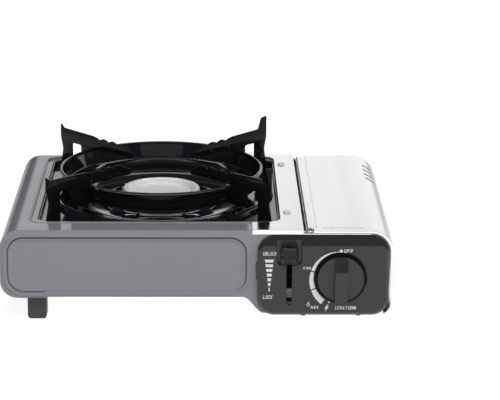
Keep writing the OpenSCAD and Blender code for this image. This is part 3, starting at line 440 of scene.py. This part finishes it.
def tray():
    """Drip tray: upturned border in the well, flat corners, round bead, dished middle and burner collar.

    The border is given by its inset from the well's wall, the dish by its radius, both with a height."""
    border = [
        (0.60, 80.3), (0.75, 80.6), (1.10, 80.7), (1.45, 80.6), (1.60, 80.3), (1.62, 77.4), (1.75, 76.4),
        (2.10, 75.5),
    ]
    dish = [
        (102.55, 75.5), (102.1, 76.4), (101.5, 78.0), (101.0, 79.1), (100.3, 79.75), (99.5, 80.0), (98.6, 79.8),
        (97.7, 79.1), (96.4, 77.3), (95.0, 75.6), (93.6, 74.8), (92.0, 74.5), (86.0, 74.4), (80.0, 74.3),
        (77.0, 74.0), (70.0, 72.9), (60.0, 71.4), (54.0, 70.9), (52.0, 71.1), (50.6, 72.2), (49.2, 74.2),
        (48.5, 75.1), (47.6, 75.5), (47.0, 75.2), (47.0, 74.6), (48.0, 73.8), (49.4, 71.6), (51.4, 70.1),
        (54.0, 69.9), (72.0, 71.6), (92.0, 73.5), (94.5, 74.4), (97.0, 76.6), (99.5, 79.0), (101.0, 77.0),
        (102.4, 74.6),
    ]
    under_border = [(1.20, 74.5), (0.75, 74.6), (0.60, 74.9)]
    even_turns = {1.5 * i for i in range(240)}
    corner_turns = {round(45.0 + 90.0 * q + 0.45 * k, 3) for q in range(4) for k in range(-12, 13)}
    loops = []
    for turn in sorted(even_turns | corner_turns):
        aim = (math.cos(math.radians(turn)), math.sin(math.radians(turn)))
        spots = [(square_reach(*aim, inset), z) for inset, z in border] + dish
        spots += [(square_reach(*aim, inset), z) for inset, z in under_border]
        loops.append([about_burner(turn, far, 0.0, z) for far, z in spots])
    return swept("drip_tray_pressing", loops, "tray", "black_enamel")


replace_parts(tray(), "drip_tray")


def moved_in(outline, distance):
    """A closed outline with each point moved inwards."""
    twice_area = sum(a[0] * b[1] - b[0] * a[1] for a, b in zip(outline, outline[1:] + outline[:1]))
    turn = 1.0 if twice_area > 0 else -1.0
    inner = []
    for i, (u, v) in enumerate(outline):
        along = Vector(outline[(i + 1) % len(outline)]) - Vector(outline[i - 1])
        across = Vector((-along.y, along.x)).normalized() * turn * distance
        inner.append((u + across.x, v + across.y))
    return inner


def arm_outline(prong, prong_top, prong_foot):
    """Side view of a pan arm: distance from the burner's axis, and height."""
    reach = 138.9
    pitch = 12.4
    first = 53.5
    corners = [
        (reach, TRAY_TOP, 0.6), (reach, TRAY_TOP + 4.5, 6.0), (reach - 3.0, RIM_Z - 7.6, 9.0),
        (reach, RIM_Z + 4.0, 6.0), (reach, PAN_Z + prong, 0.5),
        (reach - prong_top, PAN_Z + prong - prong_top / 6.0, 0.5), (reach - prong_foot, PAN_Z + 1.4, 2.0),
        (first + 3.0 * pitch + 2.0, PAN_Z + 0.5, 2.0),
    ]
    steps = 30
    for i in range(steps + 1):
        r = first + 3.0 * pitch * (1.0 - i / steps)
        wave = abs(math.cos(math.pi * (r - first) / pitch))
        corners.append((r, PAN_Z - 1.9 * (1.0 - wave), 0.0))
    corners += [
        (50.6, PAN_Z - 1.2, 4.0), (39.4, RIM_Z + 5.4, 2.0), (38.6, RIM_Z, 0.6), (92.45, RIM_Z, 0.0),
        (92.45, RIM_Z - 2.0, 0.5), (88.05, 85.5, 1.0), (109.9, 85.5, 1.5), (109.9, RIM_Z, 2.0),
        (122.9, RIM_Z, 2.0), (122.9, TRAY_TOP, 0.6),
    ]
    return rounded(corners, 4)


def pan_arm(name, node, turn, prong, prong_top, prong_foot):
    """One pressed arm of the pan support, with rounded edges."""
    outline = arm_outline(prong, prong_top, prong_foot)
    half_layers = [(0.4, 0.0), (0.6, 0.03), (0.74, 0.13), (0.8, 0.3)]
    layers = [(-side, inset) for side, inset in half_layers[::-1]] + half_layers
    points = []
    for side, inset in layers:
        points += [about_burner(turn, r, side, z) for r, z in moved_in(outline, inset)]
    count = len(outline)
    flat = moved_in(outline, layers[0][1])
    faces = filled(flat) + filled(flat, (len(layers) - 1) * count) + skin(len(layers), count, closed=False)
    piece = place(name, points, faces, "pan_support", "black_enamel", ARM_ENAMEL)
    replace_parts(smooth(piece, 60.0), node)


# Height of the prong above the pan, width of its top and of its foot
SHORT_PRONG = (4.6, 0.6, 4.5)
TALL_PRONG = (12.9, 6.5, 10.5)
pan_arm("arm_pressing_front_left", "pan_arm_front_left", 225.0, *SHORT_PRONG)
pan_arm("arm_pressing_front_right", "pan_arm_front_right", 315.0, *TALL_PRONG)
pan_arm("arm_pressing_rear_left", "pan_arm_rear_left", 135.0, *SHORT_PRONG)
pan_arm("arm_pressing_rear_right", "pan_arm_rear_right", 45.0, *TALL_PRONG)


def weld_marks():
    """Small round weld marks where the arms meet the ring, on both sides of each arm."""
    mark_r = 1.1
    sunk = 0.7
    proud = 0.6
    rows = 4
    around = 12
    mark_z = RIM_Z + 2.6
    points = []
    faces = []
    for turn in (45.0, 135.0, 225.0, 315.0):
        for r in (86.5, 64.0):
            for side in (-1.0, 1.0):
                start = len(points)
                for i in range(rows):
                    lean = math.pi / 2.0 * i / rows
                    wide = mark_r * math.cos(lean)
                    across = side * (sunk + proud * math.sin(lean))
                    for u, v in round_dot(r, mark_z, wide, around):
                        points.append(about_burner(turn, u, across, v))
                points.append(about_burner(turn, r, side * (sunk + proud), mark_z))
                faces += skin(rows, around, closed=False, start=start)
                last = start + (rows - 1) * around
                faces += [(last + k, last + (k + 1) % around, last + around) for k in range(around)]
    smooth(place("arm_weld_marks", points, faces, "pan_support", "black_enamel"))


weld_marks()


def field_edge():
    """Edge of the recessed field on the body's front: a bead, a narrow groove and a ramp down to the field.

    On the left and under the left corner the bead becomes the lip of the wrapped side sheet, which ends above
    the foot. Along the rest of the bottom the bead runs straight down to the field. Each section is a list of
    insets from the field's outline and depths behind the body's face."""
    left, right, low, high, corner = 6.5, 212.5, 27.0, 76.2, 14.0
    grooved = [
        (-3.6, 0.05), (-2.9, -0.10), (-2.2, -0.36), (-1.5, -0.58), (-0.8, -0.66), (-0.25, -0.50),
        (-0.02, -0.10), (0.0, 1.10), (0.1, 1.18), (1.2, 1.18), (1.3, 1.10), (1.3, 0.25), (1.45, 0.12),
        (1.75, 0.16), (4.6, 1.2), (4.6, 1.3), (-0.1, 1.3), (-0.1, 0.3), (-3.6, 0.3),
    ]
    lipped = [
        (-4.6, 0.05), (-4.4, -0.35), (-4.0, -0.80), (-3.4, -1.05), (-2.4, -1.10), (-1.2, -1.05),
        (-0.7, -0.80), (-0.62, -0.06), (-0.02, -0.04), (0.02, 1.12), (0.6, 1.12), (0.65, 0.15), (0.8, 0.0),
        (1.1, 0.04), (4.4, 1.2), (4.4, 1.3), (-0.1, 1.3), (-0.1, 0.3), (-4.6, 0.3),
    ]
    plain = [
        (-3.6, 0.05), (-2.9, -0.10), (-2.2, -0.36), (-1.5, -0.58), (-0.8, -0.66), (-0.2, -0.52), (0.1, -0.25),
        (0.3, 0.05), (0.5, 0.40), (0.7, 0.70), (0.85, 0.90), (1.0, 1.03), (1.2, 1.13), (1.5, 1.19), (2.0, 1.2),
        (2.0, 1.3), (-0.1, 1.3), (-0.1, 0.3), (-3.6, 0.3),
    ]
    quarters = [
        (right - corner, high - corner, grooved, grooved), (left + corner, high - corner, grooved, lipped),
        (left + corner, low + corner, lipped, lipped), (right - corner, low + corner, plain, grooved),
    ]
    lip_end = [(36.0, 0.0), (37.6, 0.25), (38.5, 0.65), (38.9, 1.0)]
    steps = 16
    stations = []
    for quarter, (middle_x, middle_z, first, last) in enumerate(quarters):
        for k in range(steps + 1):
            share = k / steps
            stations.append((middle_x, middle_z, math.radians(90.0 * (quarter + share)), first, last, share))
        if first is lipped:
            straight_down = math.radians(270.0)
            stations += [(x, middle_z, straight_down, lipped, plain, share) for x, share in lip_end]
    loops = []
    for middle_x, middle_z, turn, first, last, share in stations:
        loop = []
        for (inset, deep), (last_inset, last_deep) in zip(first, last):
            away = corner - inset - share * (last_inset - inset)
            level = deep + share * (last_deep - deep)
            loop.append((middle_x + away * math.cos(turn), level, middle_z + away * math.sin(turn)))
        loops.append(loop)
    # Its paint carries painted shade in the groove
    swept("field_rounded_edge", loops, "stove", "body_grey", SHADED_BEAD_PAINT)


field_edge()


def ledge_bead():
    """Thin rounded bead along the edge of the sunk ledge round the tray, up to the bright plate."""
    left, right, front, back, corner = 23.8, 217.0, 22.7, 245.5, 12.0
    ledge_z = 82.5
    half_width = 0.9
    height = 0.5
    sunk = 0.3
    steps = 12
    corners = [(left + corner, front + corner, 270.0), (left + corner, back - corner, 180.0)]
    path = [(right, front, 0.0, -1.0)]
    for middle_x, middle_y, start in corners:
        for k in range(steps + 1):
            turn = math.radians(start - 90.0 * k / steps)
            aim_x, aim_y = math.cos(turn), math.sin(turn)
            path.append((middle_x + corner * aim_x, middle_y + corner * aim_y, aim_x, aim_y))
    path.append((right, back, 0.0, 1.0))
    arch = [math.pi * k / 10.0 for k in range(11)]
    profile = [(half_width * math.cos(lean), height * math.sin(lean)) for lean in arch]
    profile += [(-half_width, -sunk), (half_width, -sunk)]
    points = []
    for x, y, aim_x, aim_y in path:
        points += [(x + out * aim_x, y + out * aim_y, ledge_z + up) for out, up in profile]
    count = len(profile)
    faces = filled(profile) + filled(profile, (len(path) - 1) * count) + skin(len(path), count, closed=False)
    # Its paint carries painted shade where it meets the top
    smooth(place("ledge_edge_bead", points, faces, "stove", "body_grey", SHADED_BEAD_PAINT))


ledge_bead()


def lid_step():
    """Rounded step down from the lid's hinge strip to its top."""
    near, far = 12.0, 242.5
    high, low = 83.5, 82.4
    steps = 10
    section = [(272.0, low), (272.0, high)]
    for k in range(steps + 1):
        share = k / steps
        section.append((272.2 + 1.3 * share, high - share ** 2 * (3.0 - 2.0 * share)))
    section.append((273.5, low))
    points = [(x, y, z) for y in (near, far) for x, z in section]
    count = len(section)
    faces = filled(section) + filled(section, count) + skin(2, count, closed=False)
    smooth(place("lid_rounded_step", points, faces, "lid", "bright_steel"))


lid_step()


def knob_gap_shade_ring():
    """Dull near-black band over the knob's sloped rim, a painted shade for the dark gap round the knob."""
    back = -7.4
    steps = 96
    section = [
        (21.85, 0.6), (21.85, 4.42), (20.62, 5.65), (20.0, 5.7), (20.0, 5.5), (20.5, 5.5), (21.7, 4.3),
        (21.7, 0.6),
    ]
    loops = []
    for i in range(steps):
        turn = math.tau * i / steps
        loops.append([
            (KNOB_X + r * math.cos(turn), back - out, KNOB_Z + r * math.sin(turn)) for r, out in section
        ])
    swept("knob_gap_shade_band", loops, "knob", "black_plastic", KNOB_SHADE_BLACK)


knob_gap_shade_ring()


# Marks printed on the control panel
INK_LIFT = 0.05
INK_Y = PANEL_FACE - INK_LIFT


def printed(name, outlines):
    """Flat printed marks on the panel's face, each one a filled outline of x and z."""
    points = []
    faces = []
    for outline in outlines:
        faces += filled(outline, len(points))
        points += [(x, INK_Y, z) for x, z in outline]
    return place(name, points, faces, "stove", "black_plastic", LEGEND)


# Block letters as filled outlines in a box 10 wide and 10 high. A stem has a width, a bar a height.
STEM = 2.3
BAR = 1.9
FAR_STEM = 10 - STEM
TOP_BAR = 10 - BAR
ROUND_LEFT = [
    (2.5, 0), (0, 2), (0, 8), (2.5, 10), (10, 10), (10, TOP_BAR), (3.2, TOP_BAR), (STEM, 7), (STEM, 3),
    (3.2, BAR),
]
LETTERS = {
    "A": [
        [(0, 0), (STEM, 0), (5, 7), (FAR_STEM, 0), (10, 0), (6.5, 10), (3.5, 10)],
        [(3, 2), (7, 2), (6.6, 3.6), (3.4, 3.6)],
    ],
    "C": [[(10, 0)] + ROUND_LEFT + [(10, BAR)]],
    "F": [[
        (0, 0), (STEM, 0), (STEM, 4), (8, 4), (8, 4 + BAR), (STEM, 4 + BAR), (STEM, TOP_BAR), (10, TOP_BAR),
        (10, 10), (0, 10),
    ]],
    "G": [[(10, 0)] + ROUND_LEFT + [
        (FAR_STEM, BAR), (FAR_STEM, 3.6), (5.5, 3.6), (5.5, 5.4), (10, 5.4),
    ]],
    "I": [[(3.2, 0), (6.8, 0), (6.8, 10), (3.2, 10)]],
    "K": [[
        (0, 0), (STEM, 0), (STEM, 3.6), (3.6, 4.6), (6.8, 0), (10, 0), (5.4, 6.1), (9.6, 10), (6.2, 10),
        (STEM, 6.6), (STEM, 10), (0, 10),
    ]],
    "L": [[(0, 0), (10, 0), (10, BAR), (STEM, BAR), (STEM, 10), (0, 10)]],
    "M": [[
        (0, 0), (2, 0), (2, 6.2), (5, 2.4), (8, 6.2), (8, 0), (10, 0), (10, 10), (8, 10), (5, 6), (2, 10),
        (0, 10),
    ]],
    "N": [[
        (0, 0), (STEM, 0), (STEM, 6), (7, 0), (10, 0), (10, 10), (FAR_STEM, 10), (FAR_STEM, 4), (3, 10),
        (0, 10),
    ]],
    "O": [
        [
            (5, 0), (2.5, 0), (0, 2), (0, 8), (2.5, 10), (5, 10), (5, TOP_BAR), (3.2, TOP_BAR), (STEM, 7),
            (STEM, 3), (3.2, BAR), (5, BAR),
        ],
        [
            (5, 0), (5, BAR), (6.8, BAR), (FAR_STEM, 3), (FAR_STEM, 7), (6.8, TOP_BAR), (5, TOP_BAR), (5, 10),
            (7.5, 10), (10, 8), (10, 2), (7.5, 0),
        ],
    ],
    "T": [[
        (5 - STEM / 2, 0), (5 + STEM / 2, 0), (5 + STEM / 2, TOP_BAR), (10, TOP_BAR), (10, 10), (0, 10),
        (0, TOP_BAR), (5 - STEM / 2, TOP_BAR),
    ]],
    "U": [[
        (0, 10), (0, 1), (1.2, 0), (8.8, 0), (10, 1), (10, 10), (FAR_STEM, 10), (FAR_STEM, 2.6), (6.8, BAR),
        (3.2, BAR), (STEM, 2.6), (STEM, 10),
    ]],
    "X": [[
        (0, 0), (3, 0), (5, 3.4), (7, 0), (10, 0), (6.6, 5), (10, 10), (7, 10), (5, 6.6), (3, 10), (0, 10),
        (3.4, 5),
    ]],
}


def lettered(name, word, x, z, width, height, slant=0.0):
    """A generic word on the panel's face, filling a box from x and z of that width and height."""
    gap = 0.28
    shares = [0.5 if letter == "I" else 1.0 for letter in word]
    unit = (width - slant * height) / (sum(shares) + gap * (len(word) - 1))
    outlines = []
    along = x
    for letter, share in zip(word, shares):
        side = (share - 1.0) / 2.0
        for outline in LETTERS[letter]:
            outlines.append([
                (along + unit * (u / 10.0 + side) + slant * height * v / 10.0, z + height * v / 10.0)
                for u, v in outline
            ])
        along += unit * (share + gap)
    return printed(name, outlines)


def flame_band(start, stop, steps=12):
    """Part of the flame scale round the knob between two angles from the top, wider towards full flame."""
    inner = KNOB_R + 1.6
    middle_z = KNOB_Z - 0.3
    outer = []
    under = []
    for i in range(steps + 1):
        angle = start + (stop - start) * i / steps
        away = inner + 0.5 + 5.0 * max(0.0, (angle - 8.0) / 140.0)
        turn = math.radians(90.0 + angle)
        outer.append((KNOB_X + away * math.cos(turn), middle_z + away * math.sin(turn)))
        under.append((KNOB_X + inner * math.cos(turn), middle_z + inner * math.sin(turn)))
    return outer + under[::-1]


def flame_mark(x, z, height):
    """A small flame's outline as a thin closed line."""
    half = [(0.00, 0.0), (0.26, 0.12), (0.32, 0.34), (0.20, 0.66), (0.0, 1.0)]
    outer = [(x + u * height, z + v * height) for u, v in half]
    outer += [(x - u * height, z + v * height) for u, v in half[-2:0:-1]]
    inner = [(x + (px - x) * 0.55, z + 0.12 * height + (pz - z) * 0.66) for px, pz in outer]
    count = len(outer)
    return [[outer[i], outer[(i + 1) % count], inner[(i + 1) % count], inner[i]] for i in range(count)]


printed("flame_scale", [flame_band(4.0, 75.0), flame_band(77.5, 112.0), flame_band(114.5, 145.0)])
printed("off_mark", [round_dot(293.0, 66.6, 1.45)])
lettered("off_word", "OFF", 295.5, 65.0, 7.8, 3.2)
printed("min_flame", flame_mark(261.3, 50.2, 2.6))
lettered("min_word", "MIN", 262.8, 50.2, 4.6, 2.0, 0.2)
printed("max_flame", flame_mark(265.4, 16.6, 4.2))
lettered("max_word", "MAX", 267.4, 14.5, 7.3, 2.7, 0.2)
lettered("ignition_word", "IGNITION", 288.6, 13.8, 17.8, 3.1)
lettered("unlock_word", "UNLOCK", 226.1, 62.6, 11.8, 3.2, 0.15)
lettered("lock_word", "LOCK", 226.1, 23.4, 8.8, 3.3, 0.2)
printed("ignition_mark", [
    round_dot(283.3, 20.4, 0.9),
    [
        (281.8, 18.2), (282.9, 18.6), (281.9, 16.0), (283.2, 16.2), (279.7, 11.6), (280.9, 14.8),
        (279.4, 14.7),
    ],
])


def lock_bars():
    """Bars of the lever's scale, from wide at the top to a thin stem at the bottom."""
    middle = 231.6
    highest = 58.9
    pitch = 4.2
    bar_height = 2.6
    stem_height = 3.4
    half_widths = [3.9, 3.4, 2.8, 2.3, 1.7, 1.2, 0.5]
    bars = []
    for i, half in enumerate(half_widths):
        top = highest - pitch * i
        low = top - (bar_height if half > 1.0 else stem_height)
        foot = half * 0.84
        bars.append([(middle - half, top), (middle + half, top), (middle + foot, low), (middle - foot, low)])
    return bars


printed("lock_scale", lock_bars())


# Studio: white floor and backdrop, soft lamps and a camera at the photograph's angle
def white_floor():
    """Floor that is white for the camera and in reflections, where it fades behind the stove."""
    size = 6.0
    corners = [(-size, -size, 0), (size, -size, 0), (size, size, 0), (-size, size, 0)]
    mesh = bpy.data.meshes.new("floor")
    mesh.from_pydata(corners, [], [(0, 1, 2, 3)])
    floor = bpy.data.objects.new("floor", mesh)
    bpy.context.scene.collection.objects.link(floor)
    material, shader, wire = finish_of("floor_white", {
        "Base Color": (0.40, 0.40, 0.40, 1.0), "Roughness": 0.9, "Specular IOR Level": 0.0,
        "Emission Strength": 1.0,
    })
    seen = wire.add("LightPath", {}, {}, "Is Camera Ray")
    mirrored = wire.add("LightPath", {}, {}, "Is Glossy Ray")
    spot = wire.add("TexCoord", {}, {}, "Object")
    away = wire.add("SeparateXYZ", {}, {"Vector": spot}, "Y")
    front = 1.0 - 0.55 * wire.ramp(0.5 + 0.5 * away, 0.52, 0.72)
    glow = seen.maths("MAXIMUM", seen, mirrored * front)
    feed(shader, wire, Emission_Color=wire.tint(glow, (0.0, 0.0, 0.0), (0.84, 0.84, 0.84)))
    coat(floor, material)


def backdrop():
    """World that is white for the camera. Reflections see it white low behind the stove and dark elsewhere."""
    world = bpy.data.worlds.new("studio_world")
    bpy.context.scene.world = world
    world.use_nodes = True
    tree = world.node_tree
    wire = Wire(tree)
    background = tree.nodes["Background"]
    seen = wire.add("LightPath", {}, {}, "Is Camera Ray")
    mirrored = wire.add("LightPath", {}, {}, "Is Glossy Ray")
    aim = wire.add("TexCoord", {}, {}, "Generated")
    sideways, back, up = (wire.add("SeparateXYZ", {}, {"Vector": aim}, axis) for axis in "XYZ")
    high = wire.ramp(up, 0.33, 0.42)
    behind = wire.ramp(back, 0.02, 0.32)
    not_left = wire.ramp(0.5 + sideways, 0.30, 0.37)
    reflected = wire.tint(behind * not_left * (1.0 - high), (0.050, 0.057, 0.078), (1.0, 1.0, 1.0))
    shown = wire.tint(mirrored, (1.0, 1.0, 1.0), reflected)
    ambient = 0.34
    strength = ambient + (1.0 - ambient) * seen.maths("MAXIMUM", seen, mirrored)
    tree.links.new(shown.socket, background.inputs["Color"])
    tree.links.new(strength.socket, background.inputs["Strength"])


def lamp(name, place_at, look_at, watts, width, height, lights=True, glints=True):
    """A rectangular lamp that lights surfaces, shows as a glint in them, or both."""
    light = bpy.data.lights.new(name, "AREA")
    light.shape = "RECTANGLE"
    light.size = width
    light.size_y = height
    light.energy = watts
    lamp_object = bpy.data.objects.new(name, light)
    bpy.context.scene.collection.objects.link(lamp_object)
    lamp_object.location = place_at
    lamp_object.rotation_mode = "QUATERNION"
    lamp_object.rotation_quaternion = (Vector(look_at) - Vector(place_at)).to_track_quat("-Z", "Y")
    lamp_object.visible_diffuse = lights
    lamp_object.visible_glossy = glints


def camera():
    """Camera fitted to the photograph: its place in metres, its lens and its three angles."""
    eye_at = (0.0109, -1.81875, 0.5972)
    lens = 149.5
    yaw, pitch, roll = (math.radians(a) for a in (1.139, -15.97, 0.4))
    ahead = Vector((math.sin(yaw) * math.cos(pitch), math.cos(yaw) * math.cos(pitch), math.sin(pitch)))
    side = Vector((math.cos(yaw), -math.sin(yaw), 0.0))
    over = side.cross(ahead)
    right = math.cos(roll) * side + math.sin(roll) * over
    up = math.cos(roll) * over - math.sin(roll) * side
    data = bpy.data.cameras.new("photo_view")
    data.sensor_width = 36.0
    data.lens = lens
    eye = bpy.data.objects.new("photo_view", data)
    bpy.context.scene.collection.objects.link(eye)
    turn = Matrix((right, up, -ahead)).transposed().to_4x4()
    eye.matrix_world = Matrix.Translation(eye_at) @ turn
    bpy.context.scene.camera = eye


white_floor()
backdrop()
AIM = (0.0, 0.0, 0.05)
AIM_BACK = (0.0, 0.02, 0.05)
lamp("key_lamp", (0.15, -1.4, 1.55), AIM, 15.0, 1.4, 0.3, glints=False)
lamp("low_lamp", (0.1, -2.2, 0.45), AIM, 12.0, 1.6, 0.7, glints=False)
lamp("right_lamp", (1.3, -0.9, 0.9), AIM, 4.0, 1.0, 1.0, glints=False)
lamp("front_card", (0.0, -2.0, 0.68), (0.0, 0.0, 0.08), 0.5, 2.0, 0.4, lights=False)
lamp("near_strip", (0.0, 0.0, 1.3), AIM_BACK, 1.5, 1.6, 0.12, lights=False)
lamp("far_strip", (0.0, 0.55, 1.2), AIM_BACK, 4.0, 1.6, 0.10, lights=False)
camera()
bpy.context.scene.view_settings.view_transform = "Standard"
